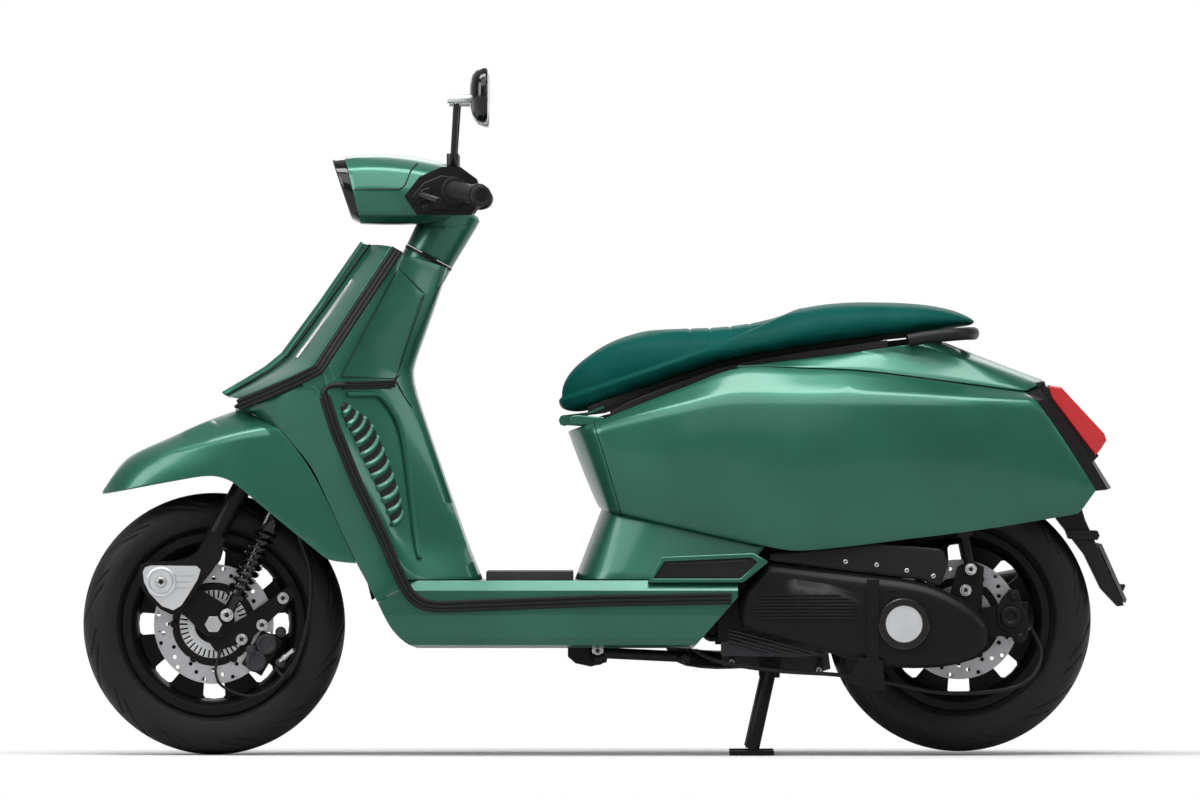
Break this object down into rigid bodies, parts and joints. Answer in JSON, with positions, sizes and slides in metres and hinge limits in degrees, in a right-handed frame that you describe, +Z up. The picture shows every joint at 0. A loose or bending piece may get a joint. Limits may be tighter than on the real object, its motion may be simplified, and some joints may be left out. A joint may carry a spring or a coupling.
{
  "type": "motor scooter",
  "caption": "Step-through motor scooter with a steered front fork, spoked wheels with brake discs, hinged seat over a storage tub, side stand and centre stand.",
  "frame": {"origin": "on the floor under the middle of the scooter", "axes": "+X forward, +Y to the rider's left, +Z up"},
  "size_m": [1.8796, 0.7304, 1.24],
  "materials": {
    "paint_green": "satin dark green paint",
    "trim_black": "satin black moulded plastic",
    "rubber_black": "matt black rubber",
    "tyre_rubber": "matt tyre rubber",
    "cast_black": "satin black paint on cast metal",
    "cast_grey": "cast aluminium",
    "silver": "satin silver",
    "steel": "ground steel",
    "seat_vinyl": "grained dark green seat cover",
    "lamp_red": "clear red lens",
    "lamp_clear": "clear lens",
    "lamp_silver": "silvered lens"
  },
  "bodies": {
    "chassis": {"frame": "cast_black", "front_fender": "paint_green", "front_apron": "paint_green", "center_tie": "paint_green", "shield_trim": "trim_black", "leg_shield": "paint_green", "inner_shield": "paint_green", "side_vents": "trim_black", "front_indicators": "lamp_silver", "wheel_well": "trim_black", "floor_board": "paint_green", "floor_mat": "rubber_black", "seat_cowl": "paint_green", "lower_panels": "paint_green", "footpegs": "trim_black", "side_panels": "paint_green", "tail_panel": "paint_green", "tail_bezel": "trim_black", "tail_lamp": "lamp_red", "storage_bucket": "trim_black", "grab_rail": "cast_black", "rear_mudguard": "trim_black", "engine": "cast_grey", "cvt_cover": "cast_black", "clutch_cap": "silver", "oil_sump": "cast_grey", "air_box": "trim_black", "exhaust": "cast_black", "rear_shocks": "cast_black", "rear_caliper": "cast_black", "rear_axle": "steel", "splash_guard": "trim_black", "rear_cable": "rubber_black"},
    "steering": {"fork": "cast_black", "front_links": "cast_black", "link_covers": "silver", "front_shocks": "cast_black", "front_axle": "steel", "front_caliper": "cast_black", "nacelle": "paint_green", "steering_neck": "paint_green", "headlamp": "lamp_clear", "handlebar": "cast_black", "grips": "rubber_black", "switch_gear": "trim_black", "levers": "silver", "mirrors": "trim_black", "front_hose": "rubber_black"},
    "front_wheel": {"front_tyre": "tyre_rubber", "front_rim": "cast_black", "front_disc": "steel"},
    "rear_wheel": {"rear_tyre": "tyre_rubber", "rear_rim": "cast_black", "rear_disc": "steel"},
    "seat": {"seat": "seat_vinyl", "seat_pan": "trim_black"},
    "side_stand": {"side_stand": "cast_black"},
    "centre_stand": {"centre_stand": "cast_black"}
  },
  "joints": [
    {"name": "steering", "type": "hinge", "parent": "chassis", "child": "steering", "pos_m": [0.79325, 0, 0], "axis": [-0.4695, 0, 0.8829], "range_deg": [-40, 40]},
    {"name": "front_wheel_spin", "type": "hinge", "parent": "steering", "child": "front_wheel", "pos_m": [0.70325, 0, 0.2365], "axis": [0, 1, 0], "continuous": true},
    {"name": "rear_wheel_spin", "type": "hinge", "parent": "chassis", "child": "rear_wheel", "pos_m": [-0.64175, 0, 0.245], "axis": [0, 1, 0], "continuous": true},
    {"name": "seat_hinge", "type": "hinge", "parent": "chassis", "child": "seat", "pos_m": [0.07025, 0, 0.604], "axis": [0, 1, 0], "range_deg": [0, 62]},
    {"name": "side_stand", "type": "hinge", "parent": "chassis", "child": "side_stand", "pos_m": [0.01025, 0.108, 0.182], "axis": [0, -0.933, -0.36], "range_deg": [0, 100]},
    {"name": "centre_stand", "type": "hinge", "parent": "chassis", "child": "centre_stand", "pos_m": [-0.29975, 0, 0.157], "axis": [0, 1, 0], "range_deg": [0, 76]}
  ]
}
